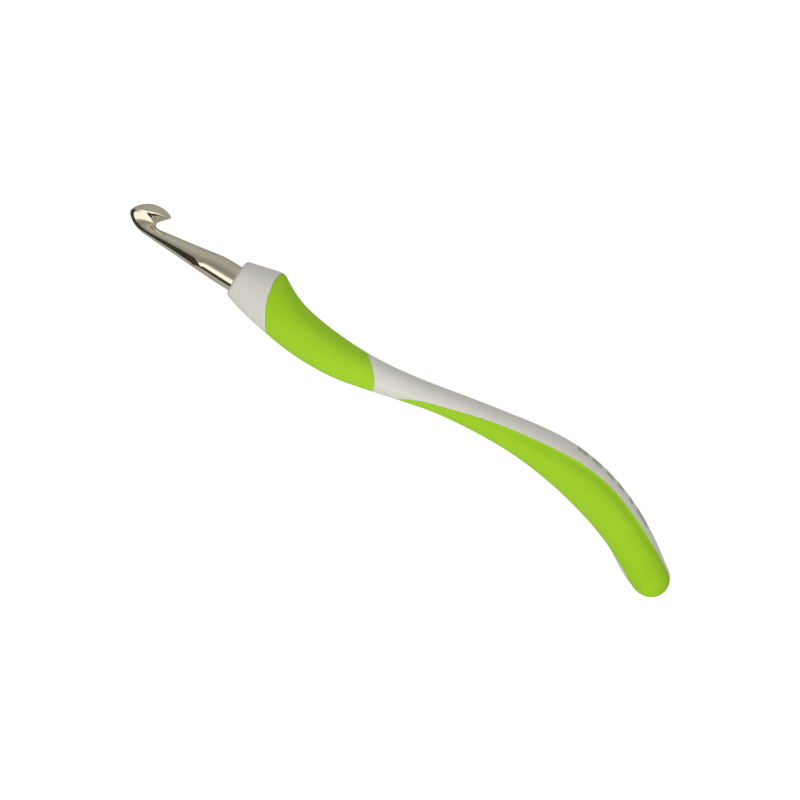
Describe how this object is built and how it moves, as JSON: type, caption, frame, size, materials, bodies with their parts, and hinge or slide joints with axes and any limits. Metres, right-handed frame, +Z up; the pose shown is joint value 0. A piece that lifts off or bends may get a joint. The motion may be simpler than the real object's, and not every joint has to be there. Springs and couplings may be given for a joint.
{
  "type": "crochet hook",
  "caption": "Crochet hook: a round metal shank tapering to a hooked head, set in a curved hard plastic handle with soft grip skins.",
  "frame": {"origin": "middle of the collar's flat front face, on the shank's axis", "axes": "+X back along the handle towards its tail, +Y to the side that the hook's mouth opens to (the thumb side), +Z up out of the side that shows when the hook lies flat on its side"},
  "size_m": [0.1575, 0.0223, 0.0136],
  "materials": {
    "metal": "bright nickel plate, warm tint",
    "hard_plastic": "semi-gloss off-white moulding",
    "soft_grip": "satin lime-green soft-touch elastomer",
    "badge_plastic": "semi-gloss white insert",
    "print": "matt grey-green ink"
  },
  "bodies": {
    "root": {"hook": "metal", "handle_core": "hard_plastic", "front_grip": "soft_grip", "tail_grip": "soft_grip", "size_badge": "badge_plastic", "size_marks": "print"}
  },
  "joints": []
}
